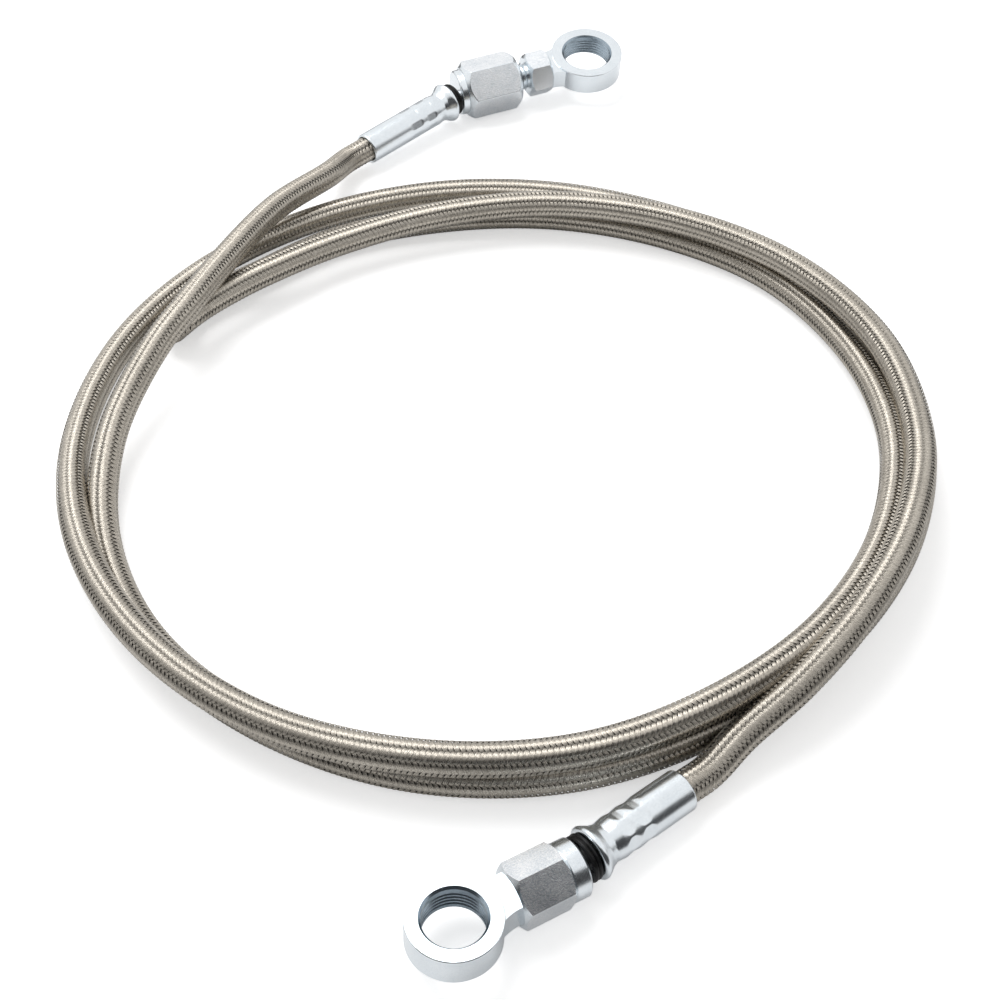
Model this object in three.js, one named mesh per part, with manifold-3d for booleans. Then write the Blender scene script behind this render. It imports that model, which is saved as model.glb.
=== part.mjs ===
// A braided clutch hose that lies loosely coiled, with a banjo fitting crimped on each end.
// Millimetres. The origin lies on the surface under the hose, midway between the outer edges of
// the two fittings: X right, Y away, Z up. Each fitting is drawn along its own X axis, from the
// mouth that the hose enters to the eye, with the bolt hole along its own Z axis.

import * as THREE from "three";
import { mergeVertices } from "three/addons/utils/BufferGeometryUtils.js";
import Module from "manifold-3d";

const wasm = await Module();
wasm.setup();

// Sizes that both ends share
const gap = 0.3;
const hoseDiameter = 6;
const hoseBore = 3.4;
const hoseSides = 10;
const nippleBore = 1.4;
const boreSpare = 1;
const ferruleWall = 0.4;
const cornerBreak = 0.35;
const roundSides = 32;
const ballSteps = 8;
const passageDiameter = 2.4;
const ringEdge = 0.45;
const cutOver = 1;

// The ferrule's pressed waist and its flare: distances back from its face, and changes of radius
const waistFrom = 5.2;
const waistLowest = 3.4;
const waistTo = 2.2;
const flareFrom = 1.2;
const flareFull = 0.7;
const waistDepth = 0.25;
const waistRise = 0.15;
const flareRound = 0.2;
const pressedSides = 8;

// The nipple's barbed tail
const tailSetback = 2;
const barbHeight = 0.2;
const barbPitch = 2;
const barbCount = 3;

// The flare of the neck into the eye, as shares of the eye's radius and of half the neck's width
const shoulderShare = 0.8;
const neckCurveShare = 0.25;

// Near end: the small eye, whose body carries the hexagon and the round collar in one piece
const near = {
  mouth: [30.2, -82.6, 4.1],
  heading: -142,
  pitch: 3,
  lean: -7.7,
  dip: -1.5,
  roll: 4,
  ferruleLength: 20,
  pressedFrom: 6,
  ferruleFlare: 9.4,
  hoseInside: 11,
  ringDiameter: 8.2,
  ringWidth: 1.5,
  ballDiameter: 5.6,
  neckDiameter: 4,
  collarDiameter: 9.8,
  collarLength: 2.8,
  hexAcrossFlats: 10,
  hexLength: 8.7,
  neckWidth: 6.8,
  neckLength: 10.3,
  eyeDiameter: 15.2,
  eyeThickness: 5.4,
  boltHole: 10,
};

// Far end: the large eye with its own small hexagon, screwed into a separate union nut
const far = {
  mouth: [-31.9, 96.2, 5.1],
  heading: 43.8,
  pitch: 3,
  lean: -22.5,
  dip: 0.5,
  roll: 9,
  ferruleLength: 26.9,
  pressedFrom: 8,
  ferruleFlare: 9.6,
  hoseInside: 15,
  ringDiameter: 8,
  ringWidth: 1.7,
  ballDiameter: 5.6,
  neckDiameter: 3,
  collarDiameter: 11,
  collarLength: 1.8,
  nutAcrossFlats: 12.6,
  nutLength: 14.3,
  stubDiameter: 6.8,
  stubInNut: 6,
  stubShown: 2.7,
  hexAcrossFlats: 9.8,
  hexLength: 6.2,
  neckWidth: 8,
  neckLength: 10.8,
  eyeDiameter: 18,
  eyeThickness: 5.6,
  boltHole: 12,
};

// The hose's way round the coil, by hand: degrees round the middle, distance from it, height.
// It climbs on to the coil at the near end, goes round the right and far sides, doubles back
// under the crossing at the left, and runs back beneath itself to the far end.
const route = [
  [-61, 84, 6],
  [-52, 83, 9.5],
  [-40, 82, 12.3],
  [-24, 81.5, 12.9],
  [-5, 82, 10.5],
  [16, 82, 9.4],
  [36, 79, 9.4],
  [57, 74, 9.4],
  [79, 70, 8.9],
  [101, 67, 8.1],
  [122, 66.7, 7.3],
  [139, 67.7, 8.2],
  [146, 69.4, 8.2],
  [152, 71.2, 8.1],
  [156, 72.3, 8],
  [157, 74.9, 5.4],
  [153, 76.3, 3],
  [148, 75.8, 3],
  [142, 74.8, 3],
  [137, 73.6, 3],
  [120, 73, 3],
  [100, 71.9, 3],
  [80, 73, 3],
  [60, 75.2, 3],
  [40, 78.2, 3.1],
  [20, 78.8, 3.5],
  [-3, 78, 6.9],
  [-24, 77.8, 8.8],
  [-43, 77.9, 9.4],
  [-62, 78.2, 9.4],
  [-80, 79.8, 9.4],
  [-99, 80.8, 9.4],
  [-118, 82, 9],
  [-137, 82.5, 8.6],
  [-157, 82.8, 7],
  [-179, 83.7, 3.4],
  [-200, 84.1, 3],
  [-220, 83.4, 3],
  [-240, 82.6, 3],
  [-260, 82.1, 3],
  [-280, 81.8, 3],
  [-300, 82.2, 3],
  [-320, 84.8, 3],
  [-340, 85.3, 3],
  [-360, 84.6, 3],
  [-380, 82.1, 3],
  [-400, 79.8, 3],
  [-420, 79, 3],
  [-440, 80, 3],
  [-460, 80.2, 3],
  [-480, 79.8, 3],
  [-500, 79.8, 3],
  [-519, 78.6, 3.5],
  [-536, 75.7, 7.4],
  [-553, 71.5, 11.8],
  [-563, 69.7, 13.9],
  [-575, 72, 13.6],
  [-592, 81.4, 11.2],
  [-604, 90.9, 7.8],
];
const stepsPerPoint = 2;
const straightRun = 6;
const coilMiddle = [1, -12.5, 0];

const zinc = { color: 0xc8d2da, roughness: 0.32, metalness: 0.85 };
const steel = { color: 0x9aa1a6, roughness: 0.38, metalness: 0.9 };
const braid = { color: 0x8d877c, roughness: 0.45, metalness: 0.6 };
const rubber = { color: 0x131416, roughness: 0.7, metalness: 0 };

// Booleans

function solidOf(geometry) {
  const bare = geometry.clone();
  bare.deleteAttribute("normal");
  bare.deleteAttribute("uv");
  const merged = mergeVertices(bare, 1e-4);
  return new wasm.Manifold(
    new wasm.Mesh({
      numProp: 3,
      vertProperties: merged.attributes.position.array,
      triVerts: new Uint32Array(merged.index.array),
    }),
  );
}

function geometryOf(solid) {
  const { vertProperties, triVerts } = solid.getMesh();
  const geometry = new THREE.BufferGeometry();
  geometry.setAttribute("position", new THREE.BufferAttribute(vertProperties, 3));
  geometry.setIndex(new THREE.BufferAttribute(triVerts, 1));
  return geometry;
}

// Basic forms along the fitting's X axis

// A turned solid: its profile is a list of [x, radius], going round the section once.
function turned(profile, sides = roundSides) {
  const points = profile.map(([x, radius]) => new THREE.Vector2(radius, x));
  points.push(points[0].clone());
  return solidOf(new THREE.LatheGeometry(points, sides).rotateZ(-Math.PI / 2));
}

// A plain round pin from one x to another, with its corners broken.
function pin(from, to, radius, broken = cornerBreak) {
  const ends = [
    [from, 0],
    [from, radius - broken],
    [from + broken, radius],
    [to - broken, radius],
    [to, radius - broken],
    [to, 0],
  ];
  return turned(broken ? ends : [ends[0], [from, radius], [to, radius], ends[5]]);
}

// A hexagonal bar with flats above and below, its corners turned off at both ends.
function hexBar(from, to, acrossFlats) {
  const corner = acrossFlats / Math.sqrt(3);
  const chamfer = corner - acrossFlats / 2;
  const bar = new THREE.CylinderGeometry(corner, corner, to - from, 6)
    .rotateZ(Math.PI / 2)
    .rotateX(Math.PI / 6)
    .translate((from + to) / 2, 0, 0);
  const turnedEnds = turned([
    [from, 0],
    [from, acrossFlats / 2 - cornerBreak],
    [from + chamfer, corner + cornerBreak],
    [to - chamfer, corner + cornerBreak],
    [to, acrossFlats / 2 - cornerBreak],
    [to, 0],
  ]);
  return solidOf(bar).intersect(turnedEnds);
}

// The banjo eye, a flat ring round Z at x, with the neck that flares out of it to the hexagon.
function eyeAndNeck(end, hexFace, x) {
  const outer = end.eyeDiameter / 2;
  const half = end.eyeThickness / 2;
  const disc = new THREE.LatheGeometry(
    [
      [0, -half],
      [outer - cornerBreak, -half],
      [outer, -half + cornerBreak],
      [outer, half - cornerBreak],
      [outer - cornerBreak, half],
      [0, half],
    ].map(([radius, z]) => new THREE.Vector2(radius, z)),
    2 * roundSides,
  )
    .rotateX(Math.PI / 2)
    .translate(x, 0, 0);
  const waist = end.neckWidth / 2;
  const shoulder = outer * shoulderShare;
  const meets = x - Math.sqrt(outer ** 2 - shoulder ** 2);
  const curved = meets - waist * neckCurveShare;
  const outline = new THREE.Shape();
  outline.moveTo(hexFace, -waist);
  outline.quadraticCurveTo(curved, -waist, meets, -shoulder);
  outline.lineTo(x, -waist);
  outline.lineTo(x, waist);
  outline.lineTo(meets, shoulder);
  outline.quadraticCurveTo(curved, waist, hexFace, waist);
  const neckHeight = end.eyeThickness - 2 * cornerBreak;
  const neck = new THREE.ExtrudeGeometry(outline, {
    depth: neckHeight,
    bevelEnabled: false,
    curveSegments: 6,
  }).translate(0, 0, -neckHeight / 2);
  return solidOf(disc).add(solidOf(neck));
}

// The bolt hole through the eye, opened out at both faces.
function boltHole(end, x) {
  const radius = end.boltHole / 2;
  const half = end.eyeThickness / 2;
  return solidOf(
    new THREE.LatheGeometry(
      [
        [0, -half - cutOver],
        [radius + cornerBreak + cutOver, -half - cutOver],
        [radius, -half + cornerBreak],
        [radius, half - cornerBreak],
        [radius + cornerBreak + cutOver, half + cutOver],
        [0, half + cutOver],
      ].map(([r, z]) => new THREE.Vector2(r, z)),
      2 * roundSides,
    )
      .rotateX(Math.PI / 2)
      .translate(x, 0, 0),
  );
}

// Parts of a fitting

// The sleeve that is pressed on to the hose: a thin tube with pressed flats, a waist,
// and a flare that faces the fitting. Inside it the hose ends against a shoulder.
function ferrule(end) {
  const bore = hoseDiameter / 2 + gap;
  const tube = bore + ferruleWall;
  const flare = end.ferruleFlare / 2;
  const length = end.ferruleLength;
  const shoulder = end.hoseInside + gap;
  const nippleHole = hoseBore / 2 + gap;
  const sleeve = turned([
    [0, bore + cornerBreak / 2],
    [0, tube - cornerBreak / 2],
    [cornerBreak / 2, tube],
    [length - waistFrom, tube],
    [length - waistLowest, tube - waistDepth],
    [length - waistTo, tube + waistRise],
    [length - flareFrom, flare - flareRound],
    [length - flareFull, flare],
    [length, flare - cornerBreak],
    [length, nippleHole],
    [shoulder, nippleHole],
    [shoulder, bore],
    [cornerBreak, bore],
  ]);
  const from = end.pressedFrom;
  const to = length - waistFrom;
  const flats = solidOf(
    new THREE.CylinderGeometry(tube, tube, to - from, pressedSides)
      .rotateZ(Math.PI / 2)
      .translate((from + to) / 2, 0, 0),
  );
  return sleeve.subtract(pin(from, to, flare + gap, 0).subtract(flats));
}

// The middle of the nipple's ball, about which the fitting can lean before it is tightened
function ballCentre(end) {
  return collarFace(end) + end.ballDiameter / 2 + gap;
}

// The insert: a barbed tail in the hose's bore, a neck through the rubber ring, and the ball
// that the fitting is pulled against. The fluid's bore runs through it.
function nipple(end) {
  const tail = hoseBore / 2 - gap;
  const from = gap + tailSetback;
  const neckFrom = end.ferruleLength + gap;
  const neck = end.neckDiameter / 2;
  const ball = end.ballDiameter / 2;
  const centre = ballCentre(end);
  const bore = nippleBore / 2;
  const start = Math.asin(neck / ball);
  const finish = Math.PI - Math.asin((bore + barbHeight) / ball);
  const arc = [];
  for (let i = 0; i <= ballSteps; i += 1) {
    const angle = start + ((finish - start) * i) / ballSteps;
    arc.push([centre - ball * Math.cos(angle), ball * Math.sin(angle)]);
  }
  const barbs = [];
  for (let i = 0; i < barbCount; i += 1) {
    const tip = from + i * barbPitch;
    barbs.push([tip, tail - barbHeight], [tip + barbPitch, tail]);
  }
  return turned([
    [from, bore],
    ...barbs,
    [neckFrom, tail],
    [neckFrom, neck],
    ...arc,
    [arc[ballSteps][0], bore],
  ]);
}

// The rubber ring that closes the gap between the ferrule and the collar.
function sealRing(end) {
  const outer = end.ringDiameter / 2;
  const inner = end.neckDiameter / 2 + gap;
  const from = end.ferruleLength + gap;
  const to = from + end.ringWidth;
  return turned([
    [from, inner],
    [from, outer - ringEdge],
    [from + ringEdge, outer],
    [to - ringEdge, outer],
    [to, outer - ringEdge],
    [to, inner],
  ]);
}

// Where the collar's face lies: clear of the rubber ring although the fitting leans
function collarFace(end) {
  const swing = (end.ringDiameter / 2) * Math.sin(THREE.MathUtils.degToRad(-end.lean));
  return end.ferruleLength + end.ringWidth + 2 * gap + swing;
}

// The hole that takes the nipple's ball, with a cone for it to seat on
function ballSocket(end) {
  const from = collarFace(end) - gap;
  const radius = end.ballDiameter / 2 + gap;
  const cone = ballCentre(end) + end.ballDiameter / 4;
  const bottom = cone + radius;
  return turned([
    [from, 0],
    [from, radius],
    [cone, radius],
    [bottom, gap],
    [bottom, 0],
  ]);
}

// The near fitting's body: collar, hexagon, neck and eye in one piece, drilled for the fluid
function nearBody(end) {
  const face = collarFace(end);
  const hexFrom = face + end.collarLength;
  const hexTo = hexFrom + end.hexLength;
  const eye = hexTo + end.neckLength;
  const passage = pin(ballCentre(end), eye, passageDiameter / 2, 0);
  return pin(face, hexFrom + cornerBreak, end.collarDiameter / 2)
    .add(hexBar(hexFrom, hexTo, end.hexAcrossFlats))
    .add(eyeAndNeck(end, hexTo - cornerBreak, eye))
    .subtract(ballSocket(end))
    .subtract(passage)
    .subtract(boltHole(end, eye));
}

// The far fitting's union nut, open at both ends
function unionNut(end) {
  const face = collarFace(end);
  const hexFrom = face + end.collarLength;
  const hexTo = hexFrom + end.nutLength;
  const thread = pin(hexTo - end.stubInNut - gap, hexTo + gap, end.stubDiameter / 2 + gap, 0);
  return pin(face, hexFrom + cornerBreak, end.collarDiameter / 2)
    .add(hexBar(hexFrom, hexTo, end.nutAcrossFlats))
    .subtract(ballSocket(end))
    .subtract(thread);
}

// The far fitting's body: threaded stub, small hexagon, neck and eye in one piece
function farBody(end) {
  const nutEnd = collarFace(end) + end.collarLength + end.nutLength;
  const stubFrom = nutEnd - end.stubInNut;
  const hexFrom = nutEnd + end.stubShown;
  const hexTo = hexFrom + end.hexLength;
  const eye = hexTo + end.neckLength;
  const passage = pin(stubFrom - gap, eye, passageDiameter / 2, 0);
  return pin(stubFrom, hexFrom + cornerBreak, end.stubDiameter / 2)
    .add(hexBar(hexFrom, hexTo, end.hexAcrossFlats))
    .add(eyeAndNeck(end, hexTo - cornerBreak, eye))
    .subtract(passage)
    .subtract(boltHole(end, eye));
}

// Assembly

function mesh(name, solid, finish) {
  const geometry = geometryOf(solid);
  geometry.computeVertexNormals();
  const made = new THREE.Mesh(geometry, new THREE.MeshStandardMaterial(finish));
  made.name = name;
  return made;
}

// A group whose X axis points from the hose to the eye of this end
function ferruleGroup(end) {
  const group = new THREE.Group();
  group.position.set(...end.mouth);
  group.rotation.order = "ZYX";
  group.rotation.y = THREE.MathUtils.degToRad(-end.pitch);
  group.rotation.z = THREE.MathUtils.degToRad(end.heading);
  group.updateMatrixWorld(true);
  return group;
}

// Inside it, the pieces that lean about the nipple's ball
function leaning(end, ...meshes) {
  const pieces = new THREE.Group();
  pieces.position.x = -ballCentre(end);
  pieces.add(...meshes);
  const pivot = new THREE.Group();
  pivot.position.x = ballCentre(end);
  pivot.rotation.order = "ZYX";
  pivot.rotation.set(
    THREE.MathUtils.degToRad(end.roll),
    THREE.MathUtils.degToRad(end.dip),
    THREE.MathUtils.degToRad(end.lean),
  );
  pivot.add(pieces);
  return pivot;
}

function alongAxis(group, x) {
  return group.localToWorld(new THREE.Vector3(x, 0, 0));
}

// The way of the hose as a smooth curve whose steps go from point to point
class StationCurve extends THREE.CatmullRomCurve3 {
  getPointAt(u, target) {
    return this.getPoint(u, target);
  }

  getTangentAt(u, target) {
    return this.getTangent(u, target);
  }
}

function hose(nearGroup, farGroup) {
  const turns = route.map(([degrees, radius, height]) => {
    const angle = THREE.MathUtils.degToRad(degrees);
    return new THREE.Vector3(radius * Math.cos(angle), radius * Math.sin(angle), height);
  });
  const points = [
    alongAxis(nearGroup, near.hoseInside),
    alongAxis(nearGroup, 0),
    alongAxis(nearGroup, -straightRun),
    ...turns,
    alongAxis(farGroup, -straightRun),
    alongAxis(farGroup, 0),
    alongAxis(farGroup, far.hoseInside),
  ];
  const section = new THREE.Shape();
  section.absarc(0, 0, hoseDiameter / 2, 0, 2 * Math.PI);
  const tube = new THREE.ExtrudeGeometry(
    new THREE.Shape(section.getPoints(hoseSides / 2).slice(0, -1)),
    {
      steps: (points.length - 1) * stepsPerPoint,
      extrudePath: new StationCurve(points, false, "centripetal"),
    },
  );
  return solidOf(tube);
}

// The blind end of the hose's bore, where the nipple's tail goes in
function endBore(group, end) {
  const bore = geometryOf(pin(-gap, end.hoseInside + boreSpare, hoseBore / 2, 0));
  return solidOf(bore.applyMatrix4(group.matrixWorld));
}

const nearGroup = ferruleGroup(near);
nearGroup.add(
  mesh("near_ferrule", ferrule(near), zinc),
  mesh("near_nipple", nipple(near), steel),
  mesh("near_seal_ring", sealRing(near), rubber),
  leaning(near, mesh("near_banjo_body", nearBody(near), zinc)),
);

const farGroup = ferruleGroup(far);
farGroup.add(
  mesh("far_ferrule", ferrule(far), zinc),
  mesh("far_nipple", nipple(far), steel),
  mesh("far_seal_ring", sealRing(far), rubber),
  leaning(
    far,
    mesh("far_union_nut", unionNut(far), zinc),
    mesh("far_banjo_body", farBody(far), zinc),
  ),
);

const boredHose = hose(nearGroup, farGroup)
  .subtract(endBore(nearGroup, near))
  .subtract(endBore(farGroup, far));

const coil = new THREE.Group();
coil.position.set(...coilMiddle);
coil.add(nearGroup, farGroup, mesh("braided_hose", boredHose, braid));

const clutchHose = new THREE.Group();
clutchHose.add(coil);

export default clutchHose;
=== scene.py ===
# %% [markdown]
# # A braided clutch hose with a banjo fitting on each end
#
# The real object is a thin hydraulic line. A liner carries the fluid, a plait of fine stainless
# wire holds the pressure, and a zinc plated fitting is pressed on to each end. This lesson loads
# the engineer's solids as a fixed frame, then makes the surfaces that the eye reads: the plait, the
# turned and pressed metal, the rubber rings. Lengths on the fittings are written in millimetres,
# as on a drawing, and turned into metres when a piece is put in its place.

# %% Load the frame
import math

import bmesh
import bpy
import numpy as np
from mathutils import Matrix, Vector


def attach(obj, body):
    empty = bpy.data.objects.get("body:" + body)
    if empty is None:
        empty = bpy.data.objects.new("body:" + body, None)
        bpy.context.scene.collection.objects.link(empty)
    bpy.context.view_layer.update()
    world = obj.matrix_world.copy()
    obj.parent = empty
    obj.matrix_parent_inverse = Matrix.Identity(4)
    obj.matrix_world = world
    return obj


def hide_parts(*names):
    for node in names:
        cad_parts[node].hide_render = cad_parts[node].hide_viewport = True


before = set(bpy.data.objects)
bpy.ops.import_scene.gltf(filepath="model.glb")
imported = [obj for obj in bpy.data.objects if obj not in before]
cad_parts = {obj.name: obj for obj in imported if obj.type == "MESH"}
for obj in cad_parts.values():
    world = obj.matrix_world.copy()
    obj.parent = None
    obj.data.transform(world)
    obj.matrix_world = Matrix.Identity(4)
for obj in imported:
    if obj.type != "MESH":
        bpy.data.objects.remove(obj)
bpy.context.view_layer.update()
MM = 0.001
scene = bpy.context.scene
print("solids in the frame:", ", ".join(sorted(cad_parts)))

# %% [markdown]
# ## The camera
#
# The photograph looks down on the coil at a little under 50 degrees with a short telephoto lens.
# A camera could be aimed with a constraint, but writing its place and its tilt as plain values
# keeps the picture fixed whatever else moves. A turn about X of 90 degrees would look level, so
# the turn is 90 degrees less the angle that the camera looks down.

# %% Set the camera
looking_down = 47.5
camera_place = (0.0017, -0.2210, 0.21096)
camera_data = bpy.data.cameras.new("camera")
camera_data.lens = 52.78
camera_data.sensor_width = 36.0
camera_data.clip_start = 0.01
camera = bpy.data.objects.new("camera", camera_data)
camera.location = camera_place
camera.rotation_euler = (math.radians(90 - looking_down), 0, 0)
scene.collection.objects.link(camera)
scene.camera = camera
print("camera lens", camera_data.lens, "mm, looking down", looking_down, "degrees")

# %% [markdown]
# ## Where each fitting lies
#
# A fitting is easiest to draw lying along its own X axis, from the mouth that the hose enters to
# the eye. Two matrices then put it in place: one for the sleeve on the hose, and one for the parts
# beyond the ball joint, which lean over to one side. The values are the ones that the solids were
# made from, with two small changes that bring them nearer to the photograph: the near hexagon is a
# little longer and narrower, and each hexagon is turned about the axis until its lit and dark flats
# face the right way.

# %% Measures of the two ends, in millimetres and degrees
coil_middle = Vector((1.0, -12.5, 0.0))
gap = 0.3
near = dict(
    mouth=(30.2, -82.6, 4.1), heading=-142, pitch=3, lean=-7.7, dip=-1.5, roll=4,
    ferrule_length=20, flare=9.4, jaw_depth=0.20, hose_inside=11, ring=8.2, ring_width=1.5, ball=5.6,
    collar=9.8, collar_length=2.8, hexagon=9.6, hexagon_length=9.3, hexagon_roll=20,
    neck_width=6.8, neck_length=9.7, eye=15.2, eye_thickness=5.4, bolt=10,
)
far = dict(
    mouth=(-31.9, 96.2, 5.1), heading=43.8, pitch=3, lean=-22.5, dip=0.5, roll=9,
    ferrule_length=26.9, flare=9.6, jaw_depth=0.10, hose_inside=15, ring=8, ring_width=1.7, ball=5.6,
    collar=11, collar_length=1.8, nut=12.6, nut_length=14.3, nut_roll=-17, stub=6.8, stub_inside=6,
    stub_shown=2.7, hexagon=9.8, hexagon_length=6.2, hexagon_roll=5,
    neck_width=8, neck_length=10.8, eye=18, eye_thickness=5.6, bolt=12,
)


def turn(degrees, axis):
    return Matrix.Rotation(math.radians(degrees), 4, axis)


def collar_face(end):
    """Where the collar begins along the fitting: clear of the rubber ring although it leans."""
    swing = end["ring"] / 2 * math.sin(math.radians(-end["lean"]))
    return end["ferrule_length"] + end["ring_width"] + 2 * gap + swing


def sleeve_matrix(end):
    """From the fitting's own millimetres to millimetres in the frame, for the pieces on the hose."""
    place = Matrix.Translation(Vector(end["mouth"]) + coil_middle)
    return place @ turn(end["heading"], "Z") @ turn(-end["pitch"], "Y")


def leaning_matrix(end):
    """The same for the pieces beyond the ball joint."""
    ball_centre = Vector((collar_face(end) + end["ball"] / 2 + gap, 0, 0))
    lean = turn(end["lean"], "Z") @ turn(end["dip"], "Y") @ turn(end["roll"], "X")
    return sleeve_matrix(end) @ Matrix.Translation(ball_centre) @ lean @ Matrix.Translation(-ball_centre)


for label, end in (("near", near), ("far", far)):
    print(label, "collar begins", round(collar_face(end), 2), "mm along the fitting")

# %% [markdown]
# ## The way of the hose
#
# The hose is one fixed length of something springy. Its way round the coil was chosen point by
# point, from how the strands cross in the photograph. It climbs on to the coil beside the near
# fitting, goes round the right and far sides, and doubles back under the crossing at the left.
# Then it runs back beneath itself, goes twice round the coil, and climbs over the fold to the far
# fitting. Each point is an angle round the middle of the coil, a distance from it and a height, the
# last two in metres. A curve object could be given these points and a round bevel, but the plait
# needs to know the exact direction of the hose everywhere, so the smooth line is worked out here
# and kept as numbers.

# %% Points of the way
way = [
    (-61, 0.0840, 0.0060), (-52, 0.0830, 0.0095), (-40, 0.0820, 0.0123), (-24, 0.0815, 0.0129),
    (-5, 0.0820, 0.0105), (16, 0.0820, 0.0094), (36, 0.0790, 0.0094), (57, 0.0740, 0.0094),
    (79, 0.0700, 0.0089), (101, 0.0670, 0.0081), (122, 0.0667, 0.0073), (139, 0.0677, 0.0082),
    (146, 0.0694, 0.0082), (152, 0.0712, 0.0081), (156, 0.0723, 0.0080), (157, 0.0749, 0.0054),
    (153, 0.0763, 0.0030), (148, 0.0758, 0.0030), (142, 0.0748, 0.0030), (137, 0.0736, 0.0030),
    (120, 0.0730, 0.0030), (100, 0.0719, 0.0030), (80, 0.0730, 0.0030), (60, 0.0752, 0.0030),
    (40, 0.0782, 0.0031), (20, 0.0788, 0.0035), (-3, 0.0780, 0.0069), (-24, 0.0778, 0.0088),
    (-43, 0.0779, 0.0094), (-62, 0.0782, 0.0094), (-80, 0.0798, 0.0094), (-99, 0.0808, 0.0094),
    (-118, 0.0820, 0.0090), (-137, 0.0825, 0.0086), (-157, 0.0828, 0.0070), (-179, 0.0837, 0.0034),
    (-200, 0.0841, 0.0030), (-220, 0.0834, 0.0030), (-240, 0.0826, 0.0030), (-260, 0.0821, 0.0030),
    (-280, 0.0818, 0.0030), (-300, 0.0822, 0.0030), (-320, 0.0848, 0.0030), (-340, 0.0853, 0.0030),
    (-360, 0.0846, 0.0030), (-380, 0.0821, 0.0030), (-400, 0.0798, 0.0030), (-420, 0.0790, 0.0030),
    (-440, 0.0800, 0.0030), (-460, 0.0802, 0.0030), (-480, 0.0798, 0.0030), (-500, 0.0798, 0.0030),
    (-519, 0.0786, 0.0035), (-536, 0.0757, 0.0074), (-553, 0.0715, 0.0118), (-563, 0.0697, 0.0139),
    (-575, 0.0720, 0.0136), (-592, 0.0814, 0.0112), (-604, 0.0909, 0.0078),
]
straight_run = 6


def along_sleeve(end, distance):
    """A point on the axis of a sleeve, in metres."""
    return np.array(sleeve_matrix(end) @ Vector((distance, 0, 0))) * MM


def on_coil(degrees, radius, height):
    angle = math.radians(degrees)
    middle = coil_middle * MM
    return np.array([middle.x + radius * math.cos(angle), middle.y + radius * math.sin(angle), height])


way_points = (
    [along_sleeve(near, near["hose_inside"]), along_sleeve(near, 0), along_sleeve(near, -straight_run)]
    + [on_coil(*point) for point in way]
    + [along_sleeve(far, -straight_run), along_sleeve(far, 0), along_sleeve(far, far["hose_inside"])]
)
print("points on the way of the hose:", len(way_points))

# %% Draw the smooth line through the points
line_step = 0.0005
samples_per_span = 24


def span(p0, p1, p2, p3, t):
    """A centripetal Catmull-Rom span from p1 to p2, which never loops or overshoots far."""
    d0, d1, d2 = (np.linalg.norm(b - a) ** 0.5 for a, b in ((p0, p1), (p1, p2), (p2, p3)))
    t1 = ((p1 - p0) / d0 - (p2 - p0) / (d0 + d1) + (p2 - p1) / d1) * d1
    t2 = ((p2 - p1) / d1 - (p3 - p1) / (d1 + d2) + (p3 - p2) / d2) * d1
    t = t[:, None]
    return p1 + t1 * t + (3 * (p2 - p1) - 2 * t1 - t2) * t ** 2 + (2 * (p1 - p2) + t1 + t2) * t ** 3


def smooth_line(points):
    """The curve through the points, as places one line_step apart."""
    ends = [2 * points[0] - points[1], *points, 2 * points[-1] - points[-2]]
    t = np.linspace(0, 1, samples_per_span, endpoint=False)
    spans = [span(*ends[i:i + 4], t) for i in range(len(points) - 1)]
    dense = np.vstack([*spans, points[-1][None]])
    travelled = np.concatenate([[0], np.cumsum(np.linalg.norm(np.diff(dense, axis=0), axis=1))])
    wanted = np.linspace(0, travelled[-1], round(travelled[-1] / line_step) + 1)
    return wanted, np.stack([np.interp(wanted, travelled, dense[:, i]) for i in range(3)], axis=1)


def carried_frames(line):
    """A side and an upward direction at each place, carried along so that the plait never twists."""
    forward = np.gradient(line, axis=0)
    forward /= np.linalg.norm(forward, axis=1)[:, None]
    side = np.zeros_like(line)
    last = np.cross(forward[0], (0, 0, 1))
    for i, ahead in enumerate(forward):
        last = last - ahead * last.dot(ahead)
        last /= np.linalg.norm(last)
        side[i] = last
    return side, np.cross(forward, side)


travel, line = smooth_line(way_points)
side, up = carried_frames(line)
hose_length = float(travel[-1])
print("the hose is", round(hose_length, 3), "m long")

# %% [markdown]
# ## Finishes
#
# Each finish is a small network of nodes. The helper cells below keep them readable: one makes an
# empty material, the others add a node and join its sockets.

# %% Helpers for node networks
def new_material(name):
    """A material with only its surface shader and its output."""
    material = bpy.data.materials.new(name)
    material.use_nodes = True
    shader = material.node_tree.nodes["Principled BSDF"]
    return material, material.node_tree, shader


def add(tree, kind, settings=None, **inputs):
    """A node with its settings. An input goes by its name or, as i0, i1 and so on, by its number.
    It is given a number, a colour or another node's output."""
    node = tree.nodes.new(kind)
    for key, value in (settings or {}).items():
        setattr(node, key, value)
    for key, value in inputs.items():
        by_number = key[0] == "i" and key[1:].isdigit()
        socket = node.inputs[int(key[1:]) if by_number else key]
        if isinstance(value, bpy.types.NodeSocket):
            tree.links.new(value, socket)
        else:
            socket.default_value = value
    return node


def maths(tree, operation, *values):
    """One arithmetic step."""
    inputs = {f"i{i}": value for i, value in enumerate(values)}
    return add(tree, "ShaderNodeMath", {"operation": operation}, **inputs).outputs[0]


def ramp(tree, factor, *stops):
    """A colour that changes with a factor; each stop is a place and a colour."""
    node = add(tree, "ShaderNodeValToRGB", i0=factor)
    elements = node.color_ramp.elements
    while len(elements) < len(stops):
        elements.new(0.5)
    for element, (place, colour) in zip(elements, stops):
        element.position = place
        element.color = (*colour, 1)
    return node.outputs[0]


def grain(tree, place, scale, detail=4.0, roughness=0.6):
    """Cloudy noise at a scale, for mottling and roughness."""
    inputs = {"Vector": place, "Scale": scale, "Detail": detail, "Roughness": roughness}
    return add(tree, "ShaderNodeTexNoise", **inputs).outputs["Fac"]


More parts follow.
